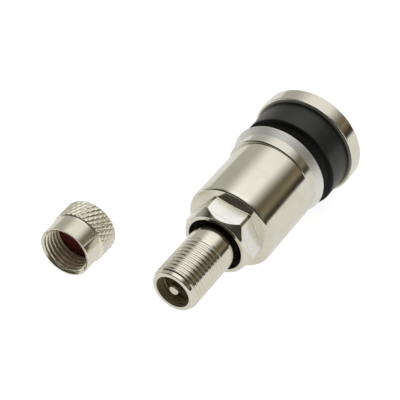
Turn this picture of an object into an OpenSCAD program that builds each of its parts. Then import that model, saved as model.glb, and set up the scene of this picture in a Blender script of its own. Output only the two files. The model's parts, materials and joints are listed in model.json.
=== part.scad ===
// Clamp-in tyre valve of plated brass, lying on its side with its knurled cap taken off beside it.
// The valve is drawn upright from the head's outer face to the tip, then laid down on its two widest rims.

/* [Valve stem] */
// Diameter of the head that stays inside the wheel
head_d = 18.5; // [17.5:0.1:22]
// Thickness of the head
head_t = 2.8; // [2:0.1:4.5]
// Diameter over the main thread that carries the sleeve nut
shank_d = 9.1; // [8.6:0.1:9.6]
// Diameter of the plain neck behind the cap thread
neck_d = 7.8; // [7.4:0.1:8.2]
// Diameter over the cap thread
tip_thread_d = 7.75; // [7:0.05:7.75]
// Length of the cap thread with its lead
tip_thread_len = 8.3; // [6:0.1:10]
// Length of the tip that stands out of the sleeve nut
tip_len = 11.65; // [10.5:0.05:20]
// Length of the slope that leads a cap onto the tip
tip_lead = 0.9; // [0.4:0.1:1.4]
// Radial depth of that slope
tip_lead_depth = 0.36; // [0.2:0.02:0.6]
// Width of the groove at the end of the cap thread
relief_w = 0.6; // [0.3:0.1:1]
// Diameter at the bottom of that groove
relief_d = 6.9; // [6.5:0.1:7.2]
// Diameter of the air passage through the head
air_d = 3.2; // [2.4:0.1:3.8]
// Rounding of the head's rims
rim_round = 0.3; // [0.2:0.05:0.6]

/* [Rim grommet] */
// Diameter of the rubber flange
flange_d = 16.9; // [15.5:0.1:17.2]
// Thickness of the rubber flange
flange_t = 4.85; // [3:0.05:7]
// Diameter of the rubber neck that fills the hole in the wheel
grommet_neck_d = 11.3; // [11:0.1:11.6]
// Diameter of the sealing cone at its foot
cone_d = 14.5; // [13:0.1:15.2]
// Height of the sealing cone
cone_h = 1.9; // [1:0.1:1.9]
// Length of the rubber neck that reaches into the washer
neck_reach = 2.1; // [1:0.1:2.6]
// Rounding of the rubber's edges
rubber_round = 0.35; // [0.1:0.05:0.6]

/* [Clamp washer] */
// Diameter of the washer's outer rim
washer_d = 16.8; // [16:0.1:17]
// Diameter of the collar under the sleeve nut
collar_d = 15.3; // [14.6:0.1:15.6]
// Length of that collar
collar_len = 1.8; // [1:0.1:3]
// Thickness of the sloping rim
washer_rim_t = 1.5; // [0.8:0.1:2]
// Free space between the washer and the rubber flange
rim_gap = 2.05; // [2:0.05:6]
// Play between the washer's hole and the rubber neck
washer_play = 0.6; // [0.6:0.05:0.8]
// Distance that the loose washer has slid sideways
washer_shift = 0.5; // [0:0.05:0.5]
// Bevel of the washer's edges
washer_edge = 0.2; // [0.1:0.05:0.4]
// Countersink of the washer's hole towards the rubber
washer_sink = 0.7; // [0.6:0.05:0.9]

/* [Sleeve nut] */
// Width across the flats of the hexagon
hex_af = 11; // [10.4:0.1:12]
// Diameter that the hexagon's corners are turned to
hex_corner_d = 12.4; // [11.6:0.1:13.2]
// Length of the hexagon
hex_len = 4.1; // [3:0.1:7]
// Outer diameter of the flat ring at the front
hex_face_d = 10.7; // [10.2:0.1:11.4]
// Length of the slope from the front ring to the corners
hex_slope = 1.35; // [0.6:0.05:1.8]
// Angle of one corner round the axis
hex_angle = 50.5; // [0:0.5:59.5]
// Diameter of the skirt
skirt_d = 15; // [14:0.1:16]
// Rounding of the skirt's front rim
skirt_round = 1; // [0.4:0.05:1.1]
// Bevel of the skirt's rear edge
skirt_edge = 0.25; // [0.1:0.05:0.5]
// Length of the skirt
skirt_len = 12.7; // [10:0.1:20]
// Wall of the hollow rear of the skirt
skirt_wall = 1.2; // [0.8:0.1:1.3]
// Length of the threaded bore
nut_thread_len = 10.5; // [8:0.1:12]
// Depth from the front of the nut to the end of the main thread
nut_lead = 4.4; // [2:0.1:6]

/* [Valve core] */
// Diameter of the threaded chamber in the tip
core_bore_d = 5.2; // [5:0.05:5.3]
// Diameter of the plain counterbore at the chamber's mouth
core_mouth_d = 5.68; // [5.5:0.02:5.9]
// Depth of that counterbore
mouth_depth = 1; // [0.4:0.1:1]
// Depth of the core's top below the tip
core_set = 1.4; // [1:0.1:2]
// Length of the threaded plug
plug_len = 4.2; // [3.8:0.1:5]
// Length of the bridge that the core key turns
bridge_len = 1.8; // [1:0.1:2.4]
// Width of that bridge
bridge_w = 1.9; // [1.7:0.1:2.6]
// Angle of that bridge round the axis
bridge_angle = -32; // [-90:1:90]
// Length of the barrel
barrel_len = 6.9; // [6.3:0.1:8]
// Height of the barrel's collar above its gasket
barrel_collar = 0.95; // [0.6:0.05:1.2]
// Step from the chamber's wall to that collar
collar_step = 0.25; // [0.1:0.05:0.4]
// Diameter of the barrel below its gasket
barrel_d = 3.5; // [3.2:0.1:3.8]
// Diameter of the barrel's swivel neck in the plug
swivel_d = 2.8; // [2.4:0.1:3]
// Length of the swivel neck
swivel_len = 0.9; // [0.5:0.1:1.2]
// Diameter of the gasket's seat on the barrel
gasket_bore_d = 3.8; // [3.6:0.1:3.9]
// Height of the cone-shaped gasket
gasket_h = 1.5; // [1:0.1:1.8]
// Diameter of the chamber below the gasket's seat
lower_bore_d = 4.4; // [4.2:0.05:4.6]
// Depth of the lower chamber below the tip
chamber_depth = 17; // [16:0.1:20]
// Diameter of the pin
pin_d = 1.3; // [1:0.05:1.4]
// Diameter of the pin's head
pin_head_d = 1.6; // [1.4:0.05:1.65]
// Depth of the pin's head below the tip
pin_set = 0.25; // [0.1:0.05:0.8]
// Thickness of the pin's head
pin_head_t = 0.5; // [0.3:0.1:0.8]
// Radial play of the pin in the plug and the barrel
pin_play = 0.2; // [0.1:0.05:0.3]
// Thickness of the pin's collar above the spring
pin_collar_t = 0.4; // [0.3:0.1:0.6]
// Diameter of the spring's chamber in the barrel
spring_bore_d = 2.3; // [2.2:0.05:2.5]
// Thickness of the ledge under the spring
ledge_t = 1.2; // [0.8:0.1:1.6]
// Wire of the core spring
spring_wire = 0.25; // [0.15:0.05:0.25]
// Number of turns of the core spring
spring_turns = 6; // [4:1:8]
// Diameter of the seal cup on the pin's foot
cup_d = 3.8; // [3.6:0.1:4]
// Height of the seal cup
cup_h = 1.3; // [1:0.1:1.8]
// Floor of the seal cup
cup_floor = 0.5; // [0.3:0.1:0.7]
// Wall of the seal cup
cup_wall = 0.35; // [0.2:0.05:0.5]

/* [Cap] */
// Length of the cap
cap_len = 7.9; // [7.4:0.1:12]
// Diameter at the cap's mouth
cap_mouth_d = 8.8; // [8.6:0.05:9]
// Diameter over the knurled band
cap_band_d = 9.4; // [9.2:0.05:10.6]
// Distance from the mouth to the knurled band
cap_band_start = 3.8; // [2:0.1:4]
// Rounding of the closed end
cap_round = 0.8; // [0.3:0.05:1.2]
// Bevel inside the cap's mouth
mouth_bevel = 0.25; // [0.1:0.05:0.35]
// Thickness of the closed end
cap_end_t = 2.3; // [0.9:0.1:2.6]
// Thickness of the gasket inside
cap_gasket_t = 1.4; // [0.5:0.1:1.6]
// Diameter of the groove that holds the gasket
cap_seat_d = 8.35; // [8.25:0.05:8.6]
// Distance between the cap's mouth and the valve's axis
cap_apart = 20; // [17:0.05:40]
// Distance that the cap's mouth lies ahead of the tip
cap_ahead = 0.2; // [-20:0.1:5]
// Angle between the cap and the valve
cap_yaw = 4; // [0:0.5:30]

/* [Fits] */
// Radial running play of the screwed and sliding pairs
run_gap = 0.05; // [0.03:0.01:0.08]
// Play between faces that only meet
seat_gap = 0.05; // [0.03:0.01:0.1]

/* [Hidden] */
$fn = 96;

// Overshoot of cuts and of roots that join
over = 1;

// Steps along the valve, from the head's outer face towards the tip
flange_front = head_t + flange_t;
washer_rear = flange_front + rim_gap;
washer_step = washer_rear + washer_rim_t;
washer_front = washer_step + collar_len;
nut_rear = washer_front + seat_gap;
skirt_front = nut_rear + skirt_len;
nut_front = skirt_front + hex_len;
nut_thread_rear = nut_front - nut_thread_len;
shank_end = nut_front - nut_lead;
valve_len = nut_front + tip_len;

// Slope that joins two turned diameters at 45 degrees
function slope(d_big, d_small) = abs(d_big - d_small) / 2;

// Depths below the tip inside the core chamber
plug_foot = core_set + plug_len;
barrel_top = plug_foot + seat_gap;
barrel_foot = barrel_top + barrel_len;
gasket_top = barrel_top + barrel_collar;
gasket_foot = gasket_top + gasket_h;
mouth_slope = slope(core_mouth_d, core_bore_d);
ledge_top = barrel_foot - ledge_t;
pin_hole_d = pin_d + 2 * pin_play;
pin_collar_d = spring_bore_d - 4 * run_gap;
spring_top = gasket_top + pin_collar_t + seat_gap;
spring_len = ledge_top - spring_top;
cup_rim = barrel_foot + seat_gap;
cup_foot = cup_rim + cup_h;
seal_h = cup_h - cup_floor;
seal_d = cup_d - 2 * cup_wall;

// The head's rim and the skirt's front rim carry the lying valve, each on its own rounding
head_touch = head_t - rim_round;
touch_run = skirt_front - skirt_round - head_touch;
round_step = skirt_round - rim_round;
touch_drop = (head_d - skirt_d) / 2 + round_step;
rest_tilt = atan(touch_drop / touch_run) - asin(round_step / norm([touch_run, touch_drop]));
valve_z = rim_round + head_touch * sin(rest_tilt) + (head_d / 2 - rim_round) * cos(rest_tilt);
cap_z = cap_band_d / 2;

// Places on the table that put the middle of the whole box at the origin
cap_reach = cap_band_d / 2 * cos(cap_yaw) + (cap_len - cap_round) * sin(cap_yaw);
valve_x = (cap_apart + cap_reach - head_d / 2) / 2;
cap_x = valve_x - cap_apart;
head_back = rim_round + (head_d / 2 - rim_round) * sin(rest_tilt) - rim_round * cos(rest_tilt);
tip_reach = valve_len * cos(rest_tilt) + (tip_thread_d / 2 - tip_lead_depth) * sin(rest_tilt);
cap_mouth_y = valve_len * cos(rest_tilt) + cap_ahead;
cap_front = cap_mouth_y + cap_mouth_d / 2 * sin(cap_yaw);
valve_y = (max(tip_reach, cap_front) - head_back) / 2;
cap_y = valve_y - cap_mouth_y;

module lay_valve() {
    translate([valve_x, valve_y, valve_z])
        rotate([90 + rest_tilt, 0, 0])
            children();
}

module lay_cap() {
    translate([cap_x, cap_y, cap_z])
        rotate([0, 0, cap_yaw])
            rotate([-90, 0, 0])
                children();
}

// Moves what is drawn by its depth below the tip, with depth counted along -Z
module from_tip(depth) {
    translate([0, 0, valve_len - depth])
        children();
}

// Plain turned disc or rod between two depths below the tip
module turned(d, top, foot) {
    from_tip(foot)
        cylinder(d = d, h = foot - top);
}

// Turned brass stem: head, main thread, neck and tip, bored for the core and the air
module valve_stem() {
    color("Silver")
        lay_valve()
            difference() {
                union() {
                    stem_head();
                    stem_shank();
                }
                stem_bore();
            }
}

module stem_head() {
    rotate_extrude()
        difference() {
            square([head_d / 2, head_t]);
            rim_cut(head_d / 2, head_t, 1);
            rim_cut(head_d / 2, 0, -1);
        }
}

// What a rounding takes off a square rim at radius r and height z, looking up (1) or down (-1)
module rim_cut(r, z, side, round = rim_round) {
    translate([r - round, z - side * round])
        difference() {
            translate([0, side > 0 ? 0 : -round - over])
                square([round + over, round + over]);
            circle(r = round);
        }
}

module stem_shank() {
    shank_slope = slope(shank_d, neck_d);
    thread_foot = valve_len - tip_thread_len;
    rotate_extrude()
        polygon([
            [0, head_t - over],
            [shank_d / 2, head_t - over],
            [shank_d / 2, shank_end - shank_slope],
            [neck_d / 2, shank_end],
            [neck_d / 2, thread_foot],
            [relief_d / 2, thread_foot],
            [relief_d / 2, thread_foot + relief_w],
            [tip_thread_d / 2, thread_foot + relief_w],
            [tip_thread_d / 2, valve_len - tip_lead],
            [tip_thread_d / 2 - tip_lead_depth, valve_len],
            [0, valve_len]
        ]);
}

// Counterbore, core thread, gasket seat, lower chamber and air passage in one turned cut
module stem_bore() {
    air_slope = slope(lower_bore_d, air_d);
    chamber_end = valve_len - chamber_depth;
    rotate_extrude()
        polygon([
            [0, -over],
            [air_d / 2, -over],
            [air_d / 2, chamber_end],
            [lower_bore_d / 2, chamber_end + air_slope],
            [lower_bore_d / 2, valve_len - gasket_foot],
            [core_bore_d / 2, valve_len - gasket_top],
            [core_bore_d / 2, valve_len - mouth_depth - mouth_slope],
            [core_mouth_d / 2, valve_len - mouth_depth],
            [core_mouth_d / 2, valve_len + over],
            [0, valve_len + over]
        ]);
}

// Black rubber grommet: flange on the head, sealing cone and the neck for the wheel's hole
module rim_grommet() {
    neck_front = washer_rear + neck_reach;
    color("DimGray")
        lay_valve()
            rotate_extrude()
                difference() {
                    polygon([
                        [shank_d / 2, head_t],
                        [flange_d / 2, head_t],
                        [flange_d / 2, flange_front],
                        [cone_d / 2, flange_front],
                        [grommet_neck_d / 2, flange_front + cone_h],
                        [grommet_neck_d / 2, neck_front],
                        [shank_d / 2, neck_front]
                    ]);
                    rim_cut(flange_d / 2, flange_front, 1, rubber_round);
                    rim_cut(flange_d / 2, head_t, -1, rubber_round);
                }
}

// Loose stepped washer between the rubber and the sleeve nut
module clamp_washer() {
    hole_r = grommet_neck_d / 2 + washer_play;
    color("LightGray")
        lay_valve()
            translate([-washer_shift, 0, 0])
                rotate_extrude()
                    polygon([
                        [hole_r, washer_rear + washer_sink],
                        [hole_r + washer_sink, washer_rear],
                        [washer_d / 2 - washer_edge, washer_rear],
                        [washer_d / 2, washer_rear + washer_edge],
                        [collar_d / 2, washer_step],
                        [collar_d / 2, washer_front - washer_edge],
                        [collar_d / 2 - washer_edge, washer_front],
                        [hole_r, washer_front]
                    ]);
}

// Sleeve nut: hexagon for the spanner in front, hollow skirt behind
module sleeve_nut() {
    bore_r = shank_d / 2 + run_gap;
    hollow_r = skirt_d / 2 - skirt_wall;
    hollow_slope = hollow_r - bore_r;
    color("Gainsboro")
        lay_valve()
            difference() {
                union() {
                    nut_skirt();
                    nut_hexagon();
                }
                rotate_extrude()
                    polygon([
                        [0, nut_rear - over],
                        [hollow_r, nut_rear - over],
                        [hollow_r, nut_thread_rear - hollow_slope],
                        [bore_r, nut_thread_rear],
                        [bore_r, nut_front + over],
                        [0, nut_front + over]
                    ]);
            }
}

module nut_skirt() {
    rotate_extrude()
        difference() {
            polygon([
                [0, nut_rear],
                [skirt_d / 2 - skirt_edge, nut_rear],
                [skirt_d / 2, nut_rear + skirt_edge],
                [skirt_d / 2, skirt_front],
                [0, skirt_front]
            ]);
            rim_cut(skirt_d / 2, skirt_front, 1, skirt_round);
        }
}

// Six flats, with the corners turned round and sloped towards the front ring
module nut_hexagon() {
    root = skirt_front - over;
    intersection() {
        translate([0, 0, root])
            rotate([0, 0, hex_angle])
                cylinder(d = hex_af / cos(30), h = nut_front - root, $fn = 6);
        rotate_extrude()
            polygon([
                [0, root],
                [hex_corner_d / 2, root],
                [hex_corner_d / 2, nut_front - hex_slope],
                [hex_face_d / 2, nut_front],
                [0, nut_front]
            ]);
    }
}

// Threaded plug of the core, with the narrow bridge that the core key turns
module core_plug() {
    plug_d = core_bore_d - 2 * run_gap;
    flow_d = swivel_d + 2 * run_gap;
    color("Goldenrod")
        lay_valve()
            difference() {
                turned(plug_d, core_set, plug_foot);
                turned(pin_hole_d, core_set - over, plug_foot + over);
                turned(flow_d, core_set + bridge_len, plug_foot + over);
                for (side = [0, 180])
                    rotate([0, 0, bridge_angle + side])
                        from_tip(core_set + bridge_len)
                            translate([-plug_d, bridge_w / 2, 0])
                                cube([2 * plug_d, plug_d, bridge_len + over]);
            }
}

// Barrel that hangs from the plug, holds the gasket and ends in the valve's inner seat
module core_barrel() {
    color("DarkGoldenrod")
        lay_valve()
            difference() {
                union() {
                    turned(swivel_d, barrel_top - swivel_len, gasket_top);
                    turned(core_bore_d - 2 * collar_step, barrel_top, gasket_top);
                    turned(gasket_bore_d, barrel_top, gasket_foot);
                    turned(barrel_d, gasket_top, barrel_foot);
                }
                turned(spring_bore_d, barrel_top - swivel_len - over, ledge_top);
                turned(pin_hole_d, ledge_top - over, barrel_foot + over);
            }
}

// Cone-shaped gasket that seals the core in the stem
module core_gasket() {
    color("Firebrick")
        lay_valve()
            rotate_extrude()
                polygon([
                    [gasket_bore_d / 2, valve_len - gasket_foot],
                    [lower_bore_d / 2 - seat_gap, valve_len - gasket_foot],
                    [core_bore_d / 2 - seat_gap, valve_len - gasket_top],
                    [gasket_bore_d / 2, valve_len - gasket_top]
                ]);
}

// Pin that an inflator pushes in, with the collar that the spring lifts
module core_pin() {
    color("Khaki")
        lay_valve()
            union() {
                turned(pin_head_d, pin_set, pin_set + pin_head_t);
                turned(pin_d, pin_set, cup_foot);
                turned(pin_collar_d, gasket_top, gasket_top + pin_collar_t);
            }
}

// Coil spring round the pin, swept turn by turn
module core_spring() {
    sides = 8;
    steps = 14;
    coil_r = (spring_bore_d + pin_d) / 4;
    wire_r = spring_wire / 2;
    rings = steps * spring_turns;
    rise = spring_len - spring_wire - 2 * seat_gap;
    foot = valve_len - ledge_top + wire_r + seat_gap;
    function ring_point(i, k) =
        let (a = 360 * i / steps, b = 360 * k / sides, r = coil_r + wire_r * cos(b))
        [r * cos(a), r * sin(a), foot + rise * i / rings + wire_r * sin(b)];
    points = [for (i = [0 : rings], k = [0 : sides - 1]) ring_point(i, k)];
    walls = [for (i = [0 : rings - 1], k = [0 : sides - 1])
        let (n = (k + 1) % sides)
        [i * sides + k, (i + 1) * sides + k, (i + 1) * sides + n, i * sides + n]];
    first = [for (k = [0 : sides - 1]) k];
    last = [for (k = [sides - 1 : -1 : 0]) rings * sides + k];
    color("LightSteelBlue")
        lay_valve()
            polyhedron(points = points, faces = concat(walls, [first, last]), convexity = 10);
}

// Cup staked on the pin's foot
module core_cup() {
    color("Peru")
        lay_valve()
            difference() {
                turned(cup_d, cup_rim, cup_foot);
                turned(seal_d, cup_rim - over, cup_rim + seal_h);
                turned(pin_d, cup_rim - over, cup_foot + over);
            }
}

// Rubber ring in the cup, pressed up against the barrel
module cup_seal() {
    color("Black")
        lay_valve()
            difference() {
                turned(seal_d, cup_rim, cup_rim + seal_h);
                turned(pin_d, cup_rim - over, cup_rim + seal_h + over);
            }
}

// Cap: plain skirt at the mouth, wider band for the fingers, closed end
module cap_shell() {
    bore_r = tip_thread_d / 2 + run_gap;
    bore_end = cap_len - cap_end_t;
    band_slope = slope(cap_band_d, cap_mouth_d);
    color("Silver")
        lay_cap()
            rotate_extrude()
                difference() {
                    polygon([
                        [bore_r + mouth_bevel, 0],
                        [cap_mouth_d / 2, 0],
                        [cap_mouth_d / 2, cap_band_start - band_slope],
                        [cap_band_d / 2, cap_band_start],
                        [cap_band_d / 2, cap_len],
                        [0, cap_len],
                        [0, bore_end],
                        [cap_seat_d / 2, bore_end],
                        [cap_seat_d / 2, bore_end - cap_gasket_t - seat_gap],
                        [bore_r, bore_end - cap_gasket_t - seat_gap],
                        [bore_r, mouth_bevel]
                    ]);
                    rim_cut(cap_band_d / 2, cap_len, 1, cap_round);
                }
}

// Soft disc snapped into the groove at the bottom of the cap
module cap_gasket() {
    bore_end = cap_len - cap_end_t;
    color("DarkRed")
        lay_cap()
            translate([0, 0, bore_end - cap_gasket_t])
                cylinder(d = cap_seat_d - 2 * seat_gap, h = cap_gasket_t);
}

valve_stem();
rim_grommet();
clamp_washer();
sleeve_nut();
core_plug();
core_barrel();
core_gasket();
core_pin();
core_spring();
core_cup();
cup_seal();
cap_shell();
cap_gasket();
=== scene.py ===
import json
import math

import bmesh
import bpy
from mathutils import Matrix, Vector


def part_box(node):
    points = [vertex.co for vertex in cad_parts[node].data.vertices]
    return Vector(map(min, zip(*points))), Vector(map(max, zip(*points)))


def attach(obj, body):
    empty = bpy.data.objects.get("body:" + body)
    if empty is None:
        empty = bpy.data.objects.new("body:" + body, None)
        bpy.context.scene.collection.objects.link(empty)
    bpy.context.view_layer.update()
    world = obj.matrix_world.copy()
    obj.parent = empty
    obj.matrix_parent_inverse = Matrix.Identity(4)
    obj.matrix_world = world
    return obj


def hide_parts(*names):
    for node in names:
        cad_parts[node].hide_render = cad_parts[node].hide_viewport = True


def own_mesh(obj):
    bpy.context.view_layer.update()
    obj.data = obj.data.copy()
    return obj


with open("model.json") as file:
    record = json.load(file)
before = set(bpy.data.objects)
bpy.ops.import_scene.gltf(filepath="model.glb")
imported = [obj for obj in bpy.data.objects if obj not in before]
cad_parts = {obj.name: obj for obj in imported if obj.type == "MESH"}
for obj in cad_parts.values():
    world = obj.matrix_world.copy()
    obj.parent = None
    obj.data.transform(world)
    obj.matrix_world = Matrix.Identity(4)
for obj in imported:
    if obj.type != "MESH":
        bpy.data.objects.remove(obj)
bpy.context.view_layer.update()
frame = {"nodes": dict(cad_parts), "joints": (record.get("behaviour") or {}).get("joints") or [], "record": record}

# Valve stem: one brass bar, turned to a round head, the main thread, a plain neck and the cap thread,
# bored from the tip for the core and nickel plated. Every other piece of the valve is held on it.
tip_joint = next(j for j in frame["joints"] if j["name"] == "core_turn")
tip_way = Vector(tip_joint["axis"]).normalized()
across = Vector((1.0, 0.0, 0.0))
stem_length = 41.5
stem_turn = Matrix((across, tip_way.cross(across), tip_way)).transposed()
head_centre = Vector(tip_joint["pos_m"]) - tip_way * stem_length / 1000
lay_on_stem = Matrix.Translation(head_centre) @ stem_turn.to_4x4() @ Matrix.Scale(0.001, 4)


def soften(corners, closed=True):
    """Turned outline from corners (along, radius, rounding) in mm. Each rounding becomes an arc that is
    marked as an edge."""
    arc_step, most_reach, beside = math.radians(18), 0.45, 1.15
    points = []
    for i, (along, radius, rounding) in enumerate(corners):
        here = Vector((along, radius))
        if rounding == 0 or not closed and i in (0, len(corners) - 1):
            points.append((along, radius, 0.0))
            continue
        back = Vector(corners[i - 1][:2]) - here
        ahead = Vector(corners[(i + 1) % len(corners)][:2]) - here
        half = back.angle(ahead) / 2
        reach = min(rounding / math.tan(half), most_reach * back.length, most_reach * ahead.length)
        back.normalize()
        ahead.normalize()
        middle = here + (back + ahead).normalized() * reach / math.cos(half)
        spoke = here + back * reach - middle
        swing = spoke.angle_signed(here + ahead * reach - middle)
        steps = max(2, math.ceil(abs(swing) / arc_step))
        points.append((*(here + back * reach * beside), 0.0))
        for k in range(steps + 1):
            turned = Matrix.Rotation(-swing * k / steps, 2) @ spoke
            points.append((*(middle + turned), 1.0))
        points.append((*(here + ahead * reach * beside), 0.0))
    return points


def finer(points, low, high, step):
    """Adds rows to an outline wherever it runs along the axis between low and high."""
    slack = 0.001
    rows = []
    for here, ahead in zip(points, points[1:] + points[:1]):
        rows.append(here)
        first, last = sorted((here[0], ahead[0]))
        count = math.ceil((last - first) / step)
        if first >= low - slack and last <= high + slack and count > 1:
            for k in range(1, count):
                share = k / count
                rows.append(tuple(a + (b - a) * share for a, b in zip(here[:2], ahead[:2])) + (0.0,))
    return rows


def skin(name, rings, marks, closed=True):
    """Mesh object over rings of points in mm. A ring of one point is a pole. The marks give each attribute
    a value for every ring, or a list with one for every point of the ring."""
    points, ring_ids = [], []
    around = max(len(ring) for ring in rings)
    for ring in rings:
        first = len(points)
        points += ring
        ring_ids.append([first + k % len(ring) for k in range(around)])
    faces = []
    for low, high in zip(ring_ids, ring_ids[1:] + ring_ids[:1] if closed else ring_ids[1:]):
        for k in range(around):
            n = (k + 1) % around
            face = list(dict.fromkeys((low[k], low[n], high[n], high[k])))
            if len(face) > 2:
                faces.append(face)
    mesh = bpy.data.meshes.new(name)
    mesh.from_pydata(points, [], faces)
    for label, values in marks.items():
        spread = [value if isinstance(value, list) else [value] * len(ring)
                  for ring, value in zip(rings, values)]
        mesh.attributes.new(label, "FLOAT", "POINT").data.foreach_set("value", sum(spread, []))
    shape = bmesh.new()
    shape.from_mesh(mesh)
    bmesh.ops.recalc_face_normals(shape, faces=shape.faces)
    shape.to_mesh(mesh)
    shape.free()
    piece = bpy.data.objects.new(name, mesh)
    bpy.context.scene.collection.objects.link(piece)
    return piece


def lathe(name, outline, around=144, closed=True, **rules):
    """Turned piece round the axis, from rows (along, radius, edge share) in mm. Each rule gives one more
    attribute."""
    angles = [2 * math.pi * k / around for k in range(around)]
    rings = [[(radius * math.cos(a), radius * math.sin(a), along) for a in angles] if radius > 1e-6
             else [(0.0, 0.0, along)] for along, radius, _ in outline]
    marks = {label: [float(rule(along, radius)) for along, radius, _ in outline]
             for label, rule in rules.items()}
    return skin(name, rings, {"edge": [row[2] for row in outline], **marks}, closed)


def wire(tree, kind, *values, **settings):
    """Adds a node, sets or links its inputs in order and returns its first output."""
    node = tree.nodes.new(kind)
    for key, value in settings.items():
        setattr(node, key, value)
    for socket, value in zip(node.inputs, values):
        if isinstance(value, bpy.types.NodeSocket):
            tree.links.new(value, socket)
        elif value is not None:
            socket.default_value = value
    return node.outputs[0]


def maths(tree, operation, *values):
    return wire(tree, "ShaderNodeMath", *values, operation=operation)


def product(tree, first, *others):
    for other in others:
        first = maths(tree, "MULTIPLY", first, other)
    return first


def ramp(tree, value, low, high, out_low=0.0, out_high=1.0, smooth=False):
    kind = "SMOOTHSTEP" if smooth else "LINEAR"
    return wire(tree, "ShaderNodeMapRange", value, low, high, out_low, out_high, interpolation_type=kind)


def blend(tree, share, below, above):
    """Mixes two colours, each a socket or three numbers, in a mix node's colour sockets."""
    node = tree.nodes.new("ShaderNodeMix")
    node.data_type = "RGBA"
    for socket, value in ((node.inputs[0], share), (node.inputs[6], below), (node.inputs[7], above)):
        if isinstance(value, bpy.types.NodeSocket):
            tree.links.new(value, socket)
        else:
            socket.default_value = (*value, 1.0)
    return node.outputs[2]


def new_tree(name, kind, inputs, outputs):
    """Empty node tree with named sockets; returns the tree, its input sockets by name and the output node."""
    tree = bpy.data.node_groups.new(name, kind)
    for label, socket in inputs:
        tree.interface.new_socket(name=label, in_out="INPUT", socket_type="NodeSocket" + socket)
    for label, socket in outputs:
        tree.interface.new_socket(name=label, in_out="OUTPUT", socket_type="NodeSocket" + socket)
    ends = tree.nodes.new("NodeGroupInput"), tree.nodes.new("NodeGroupOutput")
    return tree, {s.name: s for s in ends[0].outputs if s.name}, ends[1]


def polar(tree):
    """Position in a geometry tree as (along, radius, share of a turn, x, y)."""
    split = tree.nodes.new("ShaderNodeSeparateXYZ")
    tree.links.new(wire(tree, "GeometryNodeInputPosition"), split.inputs[0])
    x, y, along = split.outputs
    radius = maths(tree, "SQRT", maths(tree, "ADD", product(tree, x, x), product(tree, y, y)))
    share = maths(tree, "DIVIDE", maths(tree, "ARCTAN2", y, x), 2 * math.pi)
    return along, radius, share, x, y


def close_cut(tree, geometry, picked, polar_place, new_radius, soil_and_shade, material, end):
    """Moves the picked points to the new radius, keeps the deeper share of soil and painted shade and sets the
    material.
    """
    along, radius, _, x, y = polar_place
    scale = maths(tree, "DIVIDE", new_radius, maths(tree, "MAXIMUM", radius, 0.001))
    place = wire(tree, "ShaderNodeCombineXYZ", product(tree, x, scale), product(tree, y, scale), along)
    moved = wire(tree, "GeometryNodeSetPosition", geometry, picked, place)
    before = wire(tree, "GeometryNodeInputNamedAttribute", "soil_and_shade", data_type="FLOAT")
    deepest = maths(tree, "MAXIMUM", before, product(tree, soil_and_shade, picked))
    kept = wire(tree, "GeometryNodeStoreNamedAttribute", moved, None, "soil_and_shade", deepest,
                data_type="FLOAT", domain="POINT")
    real = wire(tree, "GeometryNodeRealizeInstances", kept)
    tree.links.new(wire(tree, "GeometryNodeSetMaterial", real, None, material), end.inputs[0])


thread_tree, given, thread_end = new_tree(
    "screw_thread", "GeometryNodeTree",
    [("Geometry", "Geometry"), ("Crest radius", "Float"), ("Reach", "Float"), ("From", "Float"),
     ("To", "Float"), ("Pitch", "Float"), ("Turn", "Float"), ("Depth", "Float"), ("Crest share", "Float"),
     ("Run-out", "Float"), ("Material", "Material")],
    [("Geometry", "Geometry")])
root_share = 0.92
here = polar(thread_tree)
along, radius, turned = here[:3]
turn = maths(thread_tree, "SUBTRACT", given["Turn"], turned)
wound_on = maths(thread_tree, "ADD", maths(thread_tree, "DIVIDE", along, given["Pitch"]), turn)
phase = maths(thread_tree, "FRACT", wound_on)
zigzag = maths(thread_tree, "ABSOLUTE", maths(thread_tree, "MULTIPLY_ADD", phase, 2.0, -1.0))
flank = ramp(thread_tree, zigzag, given["Crest share"], root_share, smooth=True)
full_from = maths(thread_tree, "ADD", given["From"], given["Run-out"])
full_to = maths(thread_tree, "SUBTRACT", given["To"], given["Run-out"])
start = ramp(thread_tree, along, given["From"], full_from, smooth=True)
stop = ramp(thread_tree, along, given["To"], full_to, smooth=True)
share = product(thread_tree, flank, start, stop)
floor_radius = maths(thread_tree, "SUBTRACT", radius, product(thread_tree, given["Depth"], share))
near = maths(thread_tree, "COMPARE", radius, given["Crest radius"], given["Reach"])
within = product(thread_tree, near, maths(thread_tree, "GREATER_THAN", share, 0.0))
close_cut(thread_tree, given["Geometry"], within, here, floor_radius, share, given["Material"], thread_end)


def cut(piece, tree, **sizes):
    """Adds a node tree to a piece with its inputs set by their identifiers."""
    step = piece.modifiers.new(tree.name, "NODES")
    step.node_group = tree
    for item in tree.interface.items_tree:
        if item.in_out == "INPUT" and item.name in sizes:
            step[item.identifier] = sizes[item.name]


def cut_thread(piece, material, crest, start, end, pitch, depth, run_out,
               crest_share=0.14, reach=0.02, turn=0.0):
    """Cuts a thread into the rows within reach of the crest's radius; a depth below zero cuts outwards."""
    cut(piece, thread_tree, **{
        "Crest radius": crest, "Reach": reach, "From": start, "To": end, "Pitch": pitch, "Turn": turn,
        "Depth": depth, "Crest share": crest_share, "Run-out": run_out, "Material": material})


def finish_piece(piece, place, body, slot, *nodes):
    """Bakes the node trees, lays the mesh in the row's frame, smooths it and ties it to its body."""
    sharp_from = math.radians(50)
    made = bpy.data.meshes.new_from_object(piece.evaluated_get(bpy.context.evaluated_depsgraph_get()))
    piece.modifiers.clear()
    piece.data = made
    made.name = piece.name
    made.transform(place)
    made.shade_smooth()
    made.set_sharp_from_angle(angle=sharp_from)
    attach(piece, body)
    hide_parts(*nodes)


def noise(tree, place, scale, detail, roughness):
    """Noise over a point, or along a line where the place is one number."""
    on_line = place.type == "VALUE"
    point, line = (None, place) if on_line else (place, None)
    return wire(tree, "ShaderNodeTexNoise", point, line, scale, detail, roughness,
                noise_dimensions="1D" if on_line else "3D")
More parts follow.
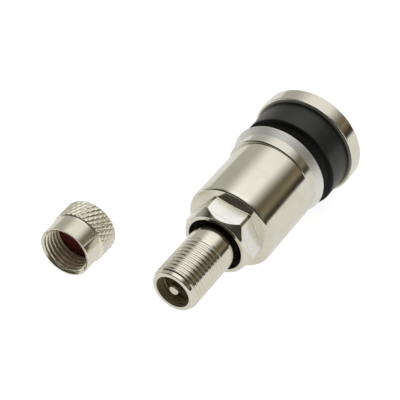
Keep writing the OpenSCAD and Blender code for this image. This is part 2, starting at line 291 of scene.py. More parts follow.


# The plating's shared look: turning rings along the axis, soft handling smudges, rubbed edges lightened
# further as painted highlight, soil in grooves deepened into painted shade, satin faces whose tone in
# bores is painted light and shade, and painted shade that darkens the inside of bores.
plating, look, plating_end = new_tree(
    "plating", "ShaderNodeTree",
    [("Vector", "Vector"), ("Edge", "Float"), ("Soil_and_shade", "Float"), ("Satin", "Float"), ("Inside", "Float"),
     ("Plate", "Color"), ("Tarnish", "Color"), ("Grime_and_shade", "Color"), ("Satin and painted tone", "Color"),
     ("Polish", "Float"), ("Satin polish", "Float"), ("Ring share", "Float")],
    [("Color", "Color"), ("Roughness", "Float"), ("Height", "Float")])
# The edge colour is rubbing and painted highlight; the bore colour is painted shade
rubbed_edge_highlight, bore_shade = (0.86, 0.84, 0.78), (0.03, 0.024, 0.016)
axial = plating.nodes.new("ShaderNodeSeparateXYZ")
plating.links.new(look["Vector"], axial.inputs[0])
fine_rings = noise(plating, axial.outputs[2], 14.0, 3.0, 0.6)
broad_rings = noise(plating, axial.outputs[2], 2.2, 2.0, 0.5)
smudge = noise(plating, look["Vector"], 0.32, 4.0, 0.55)
pits = noise(plating, look["Vector"], 7.0, 2.0, 0.5)
rings = product(plating, maths(plating, "ADD", fine_rings, broad_rings), look["Ring share"])
tone = blend(plating, ramp(plating, smudge, 0.42, 0.72, 0.0, 0.55), look["Plate"], look["Tarnish"])
# Satin faces take their own tone; in the stem's bore it is painted shade, inside the cap painted light
tone = blend(plating, look["Satin"], tone, look["Satin and painted tone"])
# Grooves darkened: soil, and painted shade in the grooves
tone = blend(plating, product(plating, look["Soil_and_shade"], look["Soil_and_shade"], 0.6), tone, look["Grime_and_shade"])
# Rounded edges lighter: rubbing, and a painted highlight
tone = blend(plating, product(plating, look["Edge"], 0.5), tone, rubbed_edge_highlight)
# Insides of bores darkened and roughened: painted shade
tone = blend(plating, product(plating, look["Inside"], 0.97), tone, bore_shade)
plating.links.new(tone, plating_end.inputs[0])
satin_gain = maths(plating, "SUBTRACT", look["Satin polish"], look["Polish"])
dull = look["Polish"]
for duller in (ramp(plating, smudge, 0.3, 0.75, -0.02, 0.07),
               product(plating, look["Soil_and_shade"], 0.12),
               product(plating, rings, 0.03),
               product(plating, look["Satin"], satin_gain),
               maths(plating, "MINIMUM", product(plating, look["Inside"], 2.0), 0.55)):
    dull = maths(plating, "ADD", dull, duller)
plating.links.new(dull, plating_end.inputs[1])
plating.links.new(maths(plating, "ADD", rings, product(plating, pits, 0.5)), plating_end.inputs[2])


def axis_coordinates(tree, turn, foot):
    """Object coordinates turned to a piece's own axis, in mm, with the axis along Z."""
    back = turn.transposed()
    node = tree.nodes.new("ShaderNodeMapping")
    node.inputs["Location"].default_value = back @ foot * -1000
    node.inputs["Rotation"].default_value = back.to_euler()
    node.inputs["Scale"].default_value = (1000, 1000, 1000)
    tree.links.new(tree.nodes.new("ShaderNodeTexCoord").outputs["Object"], node.inputs["Vector"])
    return node.outputs["Vector"]


def mark(tree, name):
    node = tree.nodes.new("ShaderNodeAttribute")
    node.attribute_name = name
    return node.outputs["Fac"]


def surface(name, group_tree, turn, foot, metallic, bump, depth, marks, colours, values):
    """New material: a principled shader fed by one of the shared groups on a piece's own axis."""
    made = bpy.data.materials.new(name)
    made.use_nodes = True
    tree = made.node_tree
    shader = tree.nodes["Principled BSDF"]
    shader.inputs["Metallic"].default_value = metallic
    relief = tree.nodes.new("ShaderNodeBump")
    relief.inputs["Strength"].default_value = bump
    relief.inputs["Distance"].default_value = depth
    tree.links.new(relief.outputs[0], shader.inputs["Normal"])
    group = tree.nodes.new("ShaderNodeGroup")
    group.node_tree = group_tree
    tree.links.new(axis_coordinates(tree, turn, foot), group.inputs["Vector"])
    for label in marks:
        tree.links.new(mark(tree, label.lower()), group.inputs[label])
    for label, colour in colours.items():
        group.inputs[label].default_value = (*colour, 1.0)
    for label, value in values.items():
        group.inputs[label].default_value = value
    tree.links.new(group.outputs["Color"], shader.inputs["Base Color"])
    tree.links.new(group.outputs["Roughness"], shader.inputs["Roughness"])
    tree.links.new(group.outputs["Height"], relief.inputs["Height"])
    return made


def plated(name, turn, foot, plate, tarnish, grime_and_shade, polish, ring_share,
           satin_and_painted_tone=(0.6, 0.6, 0.6), satin_polish=0.5):
    """Plated metal on a piece's own axis."""
    return surface(
        name, plating, turn, foot, metallic=1.0, bump=0.35, depth=0.000004,
        marks=("Edge", "Soil_and_shade", "Satin", "Inside"),
        colours={"Plate": plate, "Tarnish": tarnish, "Grime_and_shade": grime_and_shade, "Satin and painted tone": satin_and_painted_tone},
        values={"Polish": polish, "Satin polish": satin_polish, "Ring share": ring_share})


# The last colour darkens grooves, as soil and painted shade
nickel, warm_nickel, dark_residue_and_shade = (0.77, 0.735, 0.64), (0.7, 0.65, 0.53), (0.42, 0.37, 0.27)
stem_plate = plated(
    "stem_plate", stem_turn, head_centre, nickel, warm_nickel, grime_and_shade=(0.68, 0.62, 0.5), polish=0.09,
    ring_share=0.5, satin_and_painted_tone=(0.52, 0.45, 0.28), satin_polish=0.62)
head_radius, head_thick, shank_radius, neck_radius, tip_radius = 9.25, 2.8, 4.55, 3.9, 3.875
thread_from, thread_to, tip_from = 12.3, 24.8, 32.3
passage_radius, chamber_radius, core_radius = 1.6, 2.2, 2.6
core_pitch, cap_pitch, main_pitch = 25.4 / 36, 25.4 / 32, 1.0
stem_outline = soften([
    # Head and shank
    (0.0, passage_radius, 0.15), (0.0, head_radius, 0.3), (head_thick, head_radius, 0.18),
    (head_thick, 8.3, 0.0), (head_thick, shank_radius, 0.0), (thread_from, shank_radius, 0.0),
    (thread_to, shank_radius, 0.1), (25.45, neck_radius, 0.1), (26.0, neck_radius, 0.0),
    # Neck, and the tip's thread with a short lead
    (tip_from, neck_radius, 0.0), (33.2, tip_radius, 0.0), (40.65, tip_radius, 0.1), (40.85, 3.66, 0.1),
    (stem_length, 3.56, 0.25),
    # Mouth, the core's bore, the chamber behind it and the passage through the head
    (stem_length, 2.88, 0.05), (40.5, 2.86, 0.1), (40.26, core_radius, 0.05), (34.9, core_radius, 0.0),
    (33.4, chamber_radius, 0.0), (25.1, chamber_radius, 0.1), (24.5, passage_radius, 0.1)])
stem_outline = finer(stem_outline, thread_from, thread_to, main_pitch / 10)
stem_outline = finer(stem_outline, tip_from, stem_length, cap_pitch / 20)
# The bore is satin, its olive tone and the darker chamfer in its mouth painted shade; the shank and the passage
# are darkened as painted shade too
stem = lathe(
    "turned_stem", stem_outline, satin=lambda along, radius: along > 25.5 and radius < 2.89,
    inside=lambda along, radius: 0.2 if 2.605 < radius < 2.855 else 2.79 < along < 25.5 and radius < 9.0)
cut_thread(stem, stem_plate, shank_radius, start=12.4, end=25.4, pitch=main_pitch, depth=0.5, run_out=0.8)
cut_thread(stem, stem_plate, tip_radius, start=tip_from, end=42.4, pitch=cap_pitch, depth=0.12, run_out=1.9,
           crest_share=0.2, reach=0.03, turn=0.3)
cut_thread(stem, stem_plate, core_radius, start=35.2, end=40.2, pitch=core_pitch, depth=-0.2, run_out=0.3)
finish_piece(stem, lay_on_stem, "valve", "plated_stem", "valve_stem")

# Rim grommet: black rubber moulded round the shank, a flange against the head, a sealing cone and a neck
# for the hole in the wheel. It is stretched over the shank and held between the head and the wheel.
rubber, soft_look, rubber_end = new_tree(
    "satin_rubber", "ShaderNodeTree",
    [("Vector", "Vector"), ("Edge", "Float"), ("Inside", "Float"), ("Rubber", "Color"), ("Bloom", "Color"),
     ("Dust", "Color"), ("Dust share", "Float")],
    [("Color", "Color"), ("Roughness", "Float"), ("Height", "Float")])
shaded_rubber = (0.002, 0.002, 0.002)
bloom = noise(rubber, soft_look["Vector"], 0.4, 4.0, 0.6)
grain = noise(rubber, soft_look["Vector"], 9.0, 3.0, 0.6)
specks = wire(rubber, "ShaderNodeTexVoronoi", soft_look["Vector"], None, 0.55)
patches = noise(rubber, soft_look["Vector"], 0.9, 2.0, 0.5)
dots = ramp(rubber, specks, 0.085, 0.045)
dust = product(rubber, dots, ramp(rubber, patches, 0.5, 0.6), soft_look["Dust share"])
haze = maths(rubber, "MAXIMUM", ramp(rubber, bloom, 0.45, 0.8), product(rubber, soft_look["Edge"], 0.6))
skin_tone = blend(rubber, haze, soft_look["Rubber"], soft_look["Bloom"])
skin_tone = blend(rubber, product(rubber, soft_look["Inside"], 0.8), skin_tone, shaded_rubber)
rubber.links.new(blend(rubber, dust, skin_tone, soft_look["Dust"]), rubber_end.inputs[0])
sheen = maths(rubber, "ADD", ramp(rubber, bloom, 0.3, 0.7, 0.36, 0.46), product(rubber, dust, 0.4))
rubber.links.new(maths(rubber, "ADD", sheen, product(rubber, soft_look["Inside"], 0.3)), rubber_end.inputs[1])
rubber.links.new(maths(rubber, "ADD", grain, product(rubber, dust, 2.0)), rubber_end.inputs[2])


def moulded(name, turn, foot, colour, bloom_colour, dust_share=0.0):
    """Moulded rubber with bloom, fine grain and specks of dust."""
    return surface(
        name, rubber, turn, foot, metallic=0.0, bump=0.3, depth=0.000006, marks=("Edge", "Inside"),
        colours={"Rubber": colour, "Bloom": bloom_colour, "Dust": (0.3, 0.3, 0.28)},
        values={"Dust share": dust_share})


black_rubber = moulded(
    "black_rubber", stem_turn, head_centre, (0.01, 0.012, 0.0105), (0.02, 0.0232, 0.021), dust_share=0.8)
flange_radius, flange_end, seat_radius, grommet_end = 8.45, 7.65, 5.65, 11.8
grommet_outline = soften([
    # Flange on the head
    (head_thick, shank_radius, 0.0), (head_thick, 8.2, 0.0), (2.95, flange_radius, 0.2),
    (flange_end, flange_radius, 0.14),
    # Sealing cone and neck
    (flange_end, 7.25, 0.25), (9.55, seat_radius, 0.5), (grommet_end, seat_radius, 0.2),
    (grommet_end, shank_radius, 0.0)])
# The cone and neck behind the flange are darkened and dulled: painted shade
grommet = lathe("rubber_grommet", grommet_outline, inside=lambda along, radius: along > 7.6 and radius < 8.3)
grommet.data.materials.append(black_rubber)
finish_piece(grommet, lay_on_stem, "valve", "grommet_rubber", "rim_grommet")

# Clamp washer: a loose steel ring with a short collar for the nut and a sloping rim for the wheel, plated,
# the slope left satin. It lies round the grommet's neck with play and is held only when the nut is tightened.
washer_plate = plated(
    "washer_plate", stem_turn, head_centre, (0.76, 0.735, 0.65), (0.68, 0.65, 0.56), dark_residue_and_shade,
    polish=0.13, ring_share=0.7, satin_and_painted_tone=(0.88, 0.873, 0.835), satin_polish=0.45)
washer_back, slope_end, washer_front, washer_bore, collar_radius = 9.7, 11.2, 13.0, 6.25, 7.65
washer_outline = soften([
    # Sloping rim
    (10.4, washer_bore, 0.1), (washer_back, 6.95, 0.1), (washer_back, 8.2, 0.1), (9.9, 8.4, 0.1),
    # Collar
    (slope_end, collar_radius, 0.12), (12.8, collar_radius, 0.1), (washer_front, 7.45, 0.08),
    (washer_front, washer_bore, 0.1)])
washer = lathe("stepped_washer", washer_outline,
               satin=lambda along, radius: along < slope_end and radius > 7.66)
washer.data.materials.append(washer_plate)
washer_low, washer_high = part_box("clamp_washer")
washer_shift = ((washer_low + washer_high) / 2 - head_centre).dot(across)
lay_washer = Matrix.Translation(across * washer_shift) @ lay_on_stem
finish_piece(washer, lay_washer, "washer", "plated_washer", "clamp_washer")

# Sleeve nut: brass, turned from hexagon bar to a hollow skirt behind and a hexagon in front, threaded inside
# and plated; the flats keep the fine lines of the cutter. It screws along the shank and clamps the washer.
nut_plate = plated(
    "nut_plate", stem_turn, head_centre, (0.77, 0.74, 0.65), (0.7, 0.655, 0.54), dark_residue_and_shade,
    polish=0.075, ring_share=0.5, satin_and_painted_tone=(0.86, 0.845, 0.79), satin_polish=0.22)
nut_nodes = nut_plate.node_tree
nut_look = next(n for n in nut_nodes.nodes if n.type == "GROUP")
nut_along = nut_nodes.nodes.new("ShaderNodeSeparateXYZ")
nut_nodes.links.new(nut_look.inputs["Vector"].links[0].from_socket, nut_along.inputs[0])
cutter_lines = []
for line_at, line_half in ((28.9, 0.05), (26.1, 0.08)):
    off_line = maths(nut_nodes, "ABSOLUTE", maths(nut_nodes, "SUBTRACT", nut_along.outputs[2], line_at))
    cutter_lines.append(ramp(nut_nodes, off_line, line_half, line_half / 3))
cutter_mark = product(nut_nodes, maths(nut_nodes, "MAXIMUM", *cutter_lines), mark(nut_nodes, "satin"))
nut_soil_and_shade = maths(nut_nodes, "MAXIMUM", nut_look.inputs["Soil_and_shade"].links[0].from_socket, cutter_mark)
nut_nodes.links.new(nut_soil_and_shade, nut_look.inputs["Soil_and_shade"])
corner_at, flat_at, flat_half, corner_radius, corner_blend = math.radians(50.5), 5.5, 27.2, 6.2, 0.04
by_corner = (26.3, 27.05, 27.5, 27.95, 28.7)
sector = [-30, *(-a for a in reversed(by_corner)), *range(-24, 25, 3), *by_corner]
nut_rear, nut_front, skirt_radius, hollow_radius = 13.05, 29.85, 7.5, 6.3
nut_bore, mouth_radius, bore_from, bore_to = 4.6, 5.35, 19.35, 29.7
slope_share, shoulder_share = 1.35 / 0.85, math.tan(math.radians(12))
root, shoulder_radius, fillet = 25.75, 6.32, 0.09
edge_along, edge_out, edge_rounding = 25.13, 6.97, 0.5
edge_turns = [math.radians(a) for a in (4.5, 12, 20, 28, 36, 44, 51, 57.2, 58)]
skirt_rows = soften([
    (nut_rear, hollow_radius, 0.0), (nut_rear, 7.25, 0.05), (13.3, skirt_radius, 0.08),
    (24.75, skirt_radius, 0.0)], closed=False)
skirt_rows += [(edge_along + edge_rounding * math.sin(a), edge_out + edge_rounding * math.cos(a), 0.0)
               for a in edge_turns]
skirt_rows += [(25.56, 7.206, 0.0), (root, shoulder_radius, 0.0)]
bore_rows = soften([
    (nut_front, 5.2, 0.0), (nut_front, 4.75, 0.05), (bore_to, nut_bore, 0.05), (bore_from, nut_bore, 0.1),
    (17.65, hollow_radius, 0.1), (nut_rear, hollow_radius, 0.0)], closed=False)
bore_rows = finer(bore_rows, bore_from, bore_to, main_pitch / 10)
nut_columns, flat_columns = [], []
for face in range(6):
    for offset in sector:
        flat_radius = flat_at / math.cos(math.radians(offset))
        dip = max(corner_blend - abs(flat_radius - corner_radius), 0.0) / corner_blend
        radius = min(flat_radius, corner_radius) - dip * dip * corner_blend / 4
        crease = nut_front - (radius - mouth_radius) * slope_share
        foot = root + (shoulder_radius - radius) * shoulder_share
        # From the shoulder through a small fillet onto the flat, and along it
        down = [(foot - fillet * shoulder_share, radius + fillet, 0.0),
                (foot - 0.05 * shoulder_share, radius + 0.05, 0.0), (foot + 0.01, radius + 0.015, 0.0),
                (foot + 0.05, radius, 0.0), (foot + fillet, radius, 0.0)]
        flat_from, flat_to = foot + fillet, crease - 0.08
        down += [(flat_from + (flat_to - flat_from) * k / 6, radius, 0.0) for k in range(1, 7)]
        # Over the flat's front edge and down the chamfer to the rounded front
        down += [(crease - 0.04, radius, 1.0), (crease, radius - 0.006, 1.0),
                 (crease + 0.03, radius - 0.03 / slope_share, 1.0)]
        slope_from, slope_to = crease + 0.06, nut_front - 0.08
        slope_rows = [slope_from + (slope_to - slope_from) * k / 4 for k in range(5)]
        down += [(along, radius - (along - crease) / slope_share, 0.0) for along in slope_rows]
        down += [(nut_front - 0.04, 5.37, 1.0), (nut_front - 0.01, 5.34, 1.0), (nut_front, 5.29, 1.0),
                 (nut_front, 5.25, 0.0)]
        column = skirt_rows + down + bore_rows[:-1]
        angle = corner_at + math.radians(30 + 60 * face + offset)
        nut_columns.append([(r * math.cos(angle), r * math.sin(angle), along) for along, r, _ in column])
        flat_rows = range(len(skirt_rows) + 4, len(skirt_rows) + 11)
        flat_columns.append([float(i in flat_rows and abs(offset) < flat_half) for i in range(len(column))])
# The nut's bore behind its mouth is darkened as painted shade
inner_from = len(column) - len(bore_rows) + 4
nut = skin("hexagon_sleeve", [list(ring) for ring in zip(*nut_columns)],
           {"edge": [row[2] for row in column], "satin": [list(ring) for ring in zip(*flat_columns)],
            "inside": [float(i >= inner_from) for i in range(len(column))]})
cut_thread(nut, nut_plate, nut_bore, start=19.5, end=29.2, pitch=main_pitch, depth=0.5, run_out=0.6)
finish_piece(nut, lay_on_stem, "nut", "plated_nut", "sleeve_nut")

# Inner pieces of the valve core: a brass barrel with a red cone gasket, hung from the plug, and a brass cup
# with a black rubber ring on the foot of the pin. They are turned or moulded and can't be seen from outside,
# so they keep the solids' own shapes.
# The last colour darkens the plug's thread, as soil and painted shade
brass, old_brass, brass_soil_and_shade = (0.3, 0.24, 0.13), (0.18, 0.14, 0.07), (0.06, 0.045, 0.025)
core_brass = plated(
    "core_brass", stem_turn, head_centre, brass, old_brass, brass_soil_and_shade, polish=0.3, ring_share=0.8)
core_red = moulded("core_seal_red", stem_turn, head_centre, (0.2, 0.02, 0.015), (0.26, 0.04, 0.03))
core_black = moulded("core_ring_black", stem_turn, head_centre, (0.014, 0.014, 0.014), (0.025, 0.025, 0.025))
for node, finish in (("core_barrel", core_brass), ("core_cup", core_brass),
                     ("core_gasket", core_red), ("cup_seal", core_black)):
    frame["nodes"][node].material_slots[0].material = finish

# Core spring: steel wire wound to six turns round the pin. It stands in the barrel and pushes the pin
# outwards, which closes the valve; pressing the pin in would shorten it, but here it is wound at rest.
spring_steel = plated(
    "spring_steel", stem_turn, head_centre, (0.5, 0.5, 0.5), (0.36, 0.35, 0.33), dark_residue_and_shade, polish=0.25,
    ring_share=0.3)
spring_tree, given, spring_end = new_tree(
    "wound_spring", "GeometryNodeTree",
    [("Turns", "Float"), ("Coil radius", "Float"), ("Rise", "Float"), ("Wire radius", "Float"),
     ("Material", "Material")],
    [("Geometry", "Geometry")])
turn_steps, wire_sides = 28, 10
coil = wire(spring_tree, "GeometryNodeCurveSpiral", turn_steps, given["Turns"], given["Coil radius"],
            given["Coil radius"], given["Rise"])
section = wire(spring_tree, "GeometryNodeCurvePrimitiveCircle", wire_sides, None, None, None,
               given["Wire radius"])
wound = wire(spring_tree, "GeometryNodeCurveToMesh", coil, section)
wound.node.inputs["Fill Caps"].default_value = True
wound = wire(spring_tree, "GeometryNodeRealizeInstances", wound)
wound = wire(spring_tree, "GeometryNodeSetMaterial", wound, None, given["Material"])
spring_tree.links.new(wound, spring_end.inputs[0])
spring_foot, spring_top, wire_radius, pin_stroke = 30.2, 34.4, 0.125, 1.2
spring = bpy.data.objects.new("core_spring_wound", bpy.data.meshes.new("core_spring_wound"))
bpy.context.scene.collection.objects.link(spring)
cut(spring, spring_tree, **{
    "Turns": 6.0, "Coil radius": 0.9, "Rise": spring_top - spring_foot - 2 * wire_radius,
    "Wire radius": wire_radius, "Material": spring_steel})
lay_spring = lay_on_stem @ Matrix.Translation((0, 0, spring_foot + wire_radius))
finish_piece(spring, lay_spring, "core", "spring_steel", "core_spring")
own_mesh(spring)

# Core plug: a short brass screw, turned and bored, with a flat bridge across its top for the core key. It
# screws into the bore of the tip and holds the barrel and its gasket down, and the pin runs through it.
plug_foot, plug_top, plug_radius, plug_bore = 35.9, 38.3, 2.55, 1.45
plug_outline = soften([
    (plug_foot, plug_bore, 0.05), (plug_foot, plug_radius, 0.1), (plug_top, plug_radius, 0.08),
    (plug_top, plug_bore, 0.05)])
plug = lathe("core_plug_threaded", finer(plug_outline, plug_foot, plug_top, core_pitch / 10), around=96)
cut_thread(plug, core_brass, plug_radius, start=35.6, end=38.6, pitch=core_pitch, depth=0.3, run_out=0.3,
           reach=0.12)
finish_piece(plug, lay_on_stem, "plug", "core_brass", "core_plug")
bridge_angle, bridge_half, bridge_reach, eye_radius = math.radians(-32), 0.95, 2.5, 0.85
bridge_foot, bridge_top, bridge_steps = 38.25, 40.1, 96
bridge_rows = soften([
    (bridge_foot, 0.0, 0.0), (bridge_foot, 1.0, 0.0), (bridge_top, 1.0, 0.09), (bridge_top, 0.0, 0.06)])
bridge_rings = []
for along, share, _ in bridge_rows:
    ring = []
    for k in range(bridge_steps):
        angle = 2 * math.pi * k / bridge_steps
        outer = min(bridge_reach, bridge_half / max(abs(math.sin(angle)), 1e-6))
        radius = eye_radius + (outer - eye_radius) * share
        ring.append((radius * math.cos(angle + bridge_angle), radius * math.sin(angle + bridge_angle), along))
    bridge_rings.append(ring)
# The bridge, down in the bore of the tip, is darkened as painted shade
bridge = skin("core_bridge", bridge_rings,
              {"edge": [0.2 * row[2] for row in bridge_rows], "inside": [0.55] * len(bridge_rows)})
bridge.data.materials.append(core_brass)
finish_piece(bridge, lay_on_stem, "plug", "core_brass")

# Core pin: a thin brass rod with a rounded head and a collar for the spring, turned and plated. It slides
# in the bridge and the barrel, and a push on its head opens the valve.
pin_plate = plated(
    "pin_plate", stem_turn, head_centre, (0.72, 0.68, 0.57), (0.62, 0.54, 0.38), grime_and_shade=(0.2, 0.15, 0.08),
    polish=0.2, ring_share=0.4)
pin_top, pin_foot, pin_head, pin_radius, pin_collar = 41.25, 27.6, 0.8, 0.65, 1.05
pin_outline = soften([
    # Head
    (pin_top, 0.0, 0.0), (pin_top, pin_head, 0.28), (40.75, pin_head, 0.08), (40.65, pin_radius, 0.0),
    # Collar that the spring pushes on, and foot
    (34.9, pin_radius, 0.0), (34.9, pin_collar, 0.05), (34.5, pin_collar, 0.05), (34.5, pin_radius, 0.0),
    (pin_foot, pin_radius, 0.08), (pin_foot, 0.0, 0.0)], closed=False)
# Below its head the pin is darkened as painted shade
pin = lathe("core_pin_turned", pin_outline, around=64, closed=False,
            inside=lambda along, radius: 0.6 * (along < 40.8))
pin.data.materials.append(pin_plate)
finish_piece(pin, lay_on_stem, "pin", "core_brass", "core_pin")

# Cap: turned from brass bar with a thin plain skirt, a wider band rolled with a diamond knurl and a closed
# end, threaded inside and plated. It is screwed onto the tip by hand; here it lies beside the valve.
mouth_chamfer = 0.25
cap_mount = next(m for m in frame["record"]["mounts"] if m["name"] == "cap_thread")
cap_out = Vector(cap_mount["axis"]).normalized()
cap_mouth = Vector(cap_mount["pos_m"]) + cap_out * (cap_mount["dims"]["length_mm"] / 2 + mouth_chamfer) / 1000
cap_up = Vector((0.0, 0.0, 1.0))
cap_turn = Matrix((cap_up.cross(-cap_out), cap_up, -cap_out)).transposed()
lay_cap = Matrix.Translation(cap_mouth) @ cap_turn.to_4x4() @ Matrix.Scale(0.001, 4)
knurl_tree, given, knurl_end = new_tree(
    "diamond_knurl", "GeometryNodeTree",
    [("Geometry", "Geometry"), ("Crest radius", "Float"), ("Inner radius", "Float"), ("Teeth", "Float"),
     ("Lead", "Float"), ("From", "Float"), ("Depth", "Float"), ("Cross share", "Float"),
     ("Material", "Material")],
    [("Geometry", "Geometry")])
crest_half, knurl_fade, whole_turns = 0.45, 0.4, 100.0
here = polar(knurl_tree)
along, radius, turned = here[:3]
tooth = product(knurl_tree, turned, given["Teeth"])
slant = maths(knurl_tree, "DIVIDE", along, given["Lead"])
grooves = []
for way in ("SUBTRACT", "ADD"):
    turn = maths(knurl_tree, "ADD", maths(knurl_tree, way, tooth, slant), whole_turns)
    turn = maths(knurl_tree, "FRACT", turn)
    zigzag = maths(knurl_tree, "ABSOLUTE", maths(knurl_tree, "MULTIPLY_ADD", turn, 2.0, -1.0))
    grooves.append(ramp(knurl_tree, zigzag, crest_half, 1.0))
groove = maths(knurl_tree, "MAXIMUM", grooves[0], product(knurl_tree, grooves[1], given["Cross share"]))
knurl_full = maths(knurl_tree, "ADD", given["From"], knurl_fade)
groove = product(knurl_tree, groove, ramp(knurl_tree, along, given["From"], knurl_full))
limit = maths(knurl_tree, "SUBTRACT", given["Crest radius"], product(knurl_tree, given["Depth"], groove))
outside = maths(knurl_tree, "GREATER_THAN", radius, given["Inner radius"])
within = product(knurl_tree, outside, maths(knurl_tree, "GREATER_THAN", radius, limit))
knurl_radius = maths(knurl_tree, "MINIMUM", radius, limit)
close_cut(knurl_tree, given["Geometry"], within, here, knurl_radius, groove, given["Material"], knurl_end)
cap_plate = plated(
    "cap_plate", cap_turn, cap_mouth, (0.77, 0.73, 0.62), (0.7, 0.65, 0.52), grime_and_shade=(0.26, 0.22, 0.145),
    polish=0.1, ring_share=0.5, satin_and_painted_tone=(0.92, 0.87, 0.72), satin_polish=0.25)
cap_length, cap_floor, cap_skirt, cap_bore = 7.9, 5.6, 4.4, 3.925
band_from, band_radius, groove_from, groove_radius = 3.5, 4.7, 4.15, 4.175
teeth, knurl_angle, tooth_steps = 32, math.radians(30), 12
tooth_lead = 2 * math.pi * band_radius / teeth / math.tan(knurl_angle)
cap_outline = soften([
    # Closed end, knurled band and plain skirt
    (cap_length, 0.0, 0.0), (cap_length, band_radius, 0.8), (3.8, band_radius, 0.25),
    (band_from, cap_skirt, 0.2), (3.3, cap_skirt, 0.0), (0.0, cap_skirt, 0.07),
    (0.0, cap_bore + mouth_chamfer, 0.04),
    # Thread, and the groove that holds the gasket
    (mouth_chamfer, cap_bore, 0.05), (groove_from, cap_bore, 0.0), (groove_from, groove_radius, 0.0),
    (cap_floor, groove_radius, 0.0), (cap_floor, 0.0, 0.0)], closed=False)
cap_outline = finer(cap_outline, band_from, cap_length, tooth_lead / tooth_steps)
cap_outline = finer(cap_outline, mouth_chamfer, groove_from, cap_pitch / 12)
# Inside, the cap takes the lighter satin tone as painted light and grows darker with depth as painted shade; the
# knurled band's shoulder takes the lighter tone too, as painted light
cap = lathe("knurled_cap", cap_outline, around=tooth_steps * teeth, closed=False,
            satin=lambda along, radius: 0.2 < along < 5.7 and radius < 4.3 or 3.4 < along < 3.9,
            inside=lambda along, radius: 0.045 * along * (0.2 < along < 5.7 and radius < 4.3))
cut(cap, knurl_tree, **{
    "Crest radius": band_radius, "Inner radius": 4.41, "Teeth": float(teeth), "Lead": tooth_lead,
    "From": band_from, "Depth": 0.2, "Cross share": 0.4, "Material": cap_plate})
cut_thread(cap, cap_plate, cap_bore, start=0.0, end=4.4, pitch=cap_pitch, depth=0.22, run_out=0.3,
           crest_share=0.6)
finish_piece(cap, lay_cap, "valve", "plated_cap", "cap_shell")

# Cap gasket: a dark red rubber disc, punched from sheet and snapped into the groove at the bottom of the cap.
# It seals on the face of the tip and is a little domed from being pressed in.
gasket_red = moulded("gasket_red", cap_turn, cap_mouth, (0.15, 0.012, 0.01), (0.18, 0.02, 0.016))
disc_face, disc_radius = 4.2, 4.12
disc_outline = soften([
    (disc_face, 0.0, 0.0), (4.26, 1.2, 0.3), (disc_face, 3.3, 0.3), (disc_face, disc_radius, 0.12),
    (cap_floor, disc_radius, 0.12), (cap_floor, 0.0, 0.0)], closed=False)
disc = lathe("cap_disc", disc_outline, around=96, closed=False)
disc.data.materials.append(gasket_red)
finish_piece(disc, lay_cap, "valve", "cap_rubber", "cap_gasket")

# Stage: a plain pale floor that glows a little, so that the shadows stay faint, and less in what mirrors it.
floor_half, mirrored_glow, seen_glow = 3, (0.66, 0.66, 0.645), (0.93, 0.93, 0.93)
floor_mesh = bpy.data.meshes.new("floor")
floor_corners = [(x * floor_half, y * floor_half, 0) for x, y in ((-1, -1), (1, -1), (1, 1), (-1, 1))]
floor_mesh.from_pydata(floor_corners, [], [(0, 1, 2, 3)])
floor = bpy.data.objects.new("floor", floor_mesh)
bpy.context.scene.collection.objects.link(floor)
floor_paint = bpy.data.materials.new("floor_paint")
floor_paint.use_nodes = True
floor_nodes = floor_paint.node_tree
floor_shader = floor_nodes.nodes["Principled BSDF"]
floor_shader.inputs["Base Color"].default_value = (0.3, 0.3, 0.3, 1.0)
floor_shader.inputs["Roughness"].default_value = 0.9
seen = floor_nodes.nodes.new("ShaderNodeLightPath").outputs["Is Camera Ray"]
floor_glow = blend(floor_nodes, seen, mirrored_glow, seen_glow)
floor_nodes.links.new(floor_glow, floor_shader.inputs["Emission Color"])
floor_shader.inputs["Emission Strength"].default_value = 1.0
floor_mesh.materials.append(floor_paint)

# Light: a long soft box overhead that runs from the back to just in front of the valve, in a dim room that
# the metal mirrors: a brown wall on the right, a grey one on the left, a pale table far off and a dark front.
studio = bpy.data.worlds.new("studio")
bpy.context.scene.world = studio
studio.use_nodes = True
sky = studio.node_tree
look_way = sky.nodes.new("ShaderNodeTexCoord").outputs["Generated"]


def facing(way):
    node = sky.nodes.new("ShaderNodeVectorMath")
    node.operation = "DOT_PRODUCT"
    sky.links.new(look_way, node.inputs[0])
    node.inputs[1].default_value = Vector(way).normalized()
    return node.outputs["Value"]


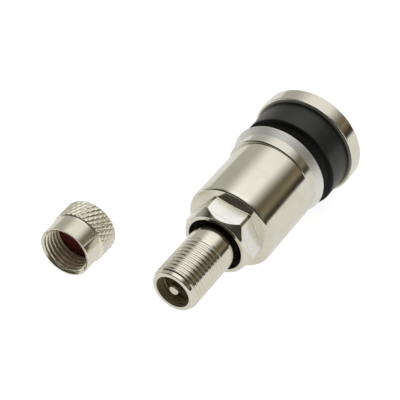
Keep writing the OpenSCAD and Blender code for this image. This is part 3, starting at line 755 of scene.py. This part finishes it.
def wall(height, stops):
    """Colours of a wall of the room by the height of the look."""
    node = sky.nodes.new("ShaderNodeValToRGB")
    sky.links.new(height, node.inputs[0])
    elements = node.color_ramp.elements
    while len(elements) < len(stops):
        elements.new(0.5)
    for element, (at, colour) in zip(elements, stops):
        element.position = at
        element.color = (*colour, 1.0)
    return node.outputs[0]


dim_room, grey_wall, far_table = (0.052, 0.047, 0.036), (0.5, 0.5, 0.465), (0.86, 0.86, 0.85)
back_glow, box_light = (0.94, 0.94, 0.925), (1.2, 1.2, 1.18)
height, depth = facing((0, 0, 1)), facing((0, 1, 0))
off_centre = maths(sky, "ABSOLUTE", facing((1, 0, 0)))
soft_box = product(
    sky, ramp(sky, off_centre, 0.64, 0.22, smooth=True), ramp(sky, depth, -0.55, -0.3, smooth=True),
    ramp(sky, height, 0.3, 0.5, smooth=True))
box_glow = blend(sky, ramp(sky, depth, 0.62, 0.4), back_glow, box_light)
brown_side = ramp(sky, facing((0.78, 0.62, 0.0)), 0.3, 0.75, smooth=True)
grey_side = ramp(sky, facing((-0.78, 0.62, 0.0)), 0.3, 0.75, smooth=True)
brown_wall = wall(height, (
    (0.1, (0.05, 0.042, 0.026)), (0.2, (0.05, 0.042, 0.026)), (0.35, (0.24, 0.207, 0.145)),
    (0.52, (0.145, 0.12, 0.075)), (0.7, (0.15, 0.126, 0.08))))
room = blend(sky, brown_side, dim_room, brown_wall)
room = blend(sky, grey_side, room, grey_wall)
room = blend(sky, soft_box, room, box_glow)
room = blend(sky, ramp(sky, height, 0.1, 0.0, smooth=True), room, far_table)
sky.links.new(room, sky.nodes["Background"].inputs["Color"])
sky.nodes["Background"].inputs["Strength"].default_value = 1.0
bpy.context.scene.view_settings.view_transform = "Standard"

# Camera: the photograph's viewpoint, above and in front of the tip.
camera_at, camera_way = (0.095052, -0.146968, 0.146641), Vector((-0.42574, 0.65357, -0.62577))
lens = bpy.data.cameras.new("camera")
lens.lens, lens.sensor_width = 126.0, 36.0
lens.clip_start, lens.clip_end = 0.01, 10.0
camera = bpy.data.objects.new("camera", lens)
camera.location = camera_at
camera.rotation_mode = "QUATERNION"
camera.rotation_quaternion = camera_way.to_track_quat("-Z", "Y")
bpy.context.scene.collection.objects.link(camera)
bpy.context.scene.camera = camera
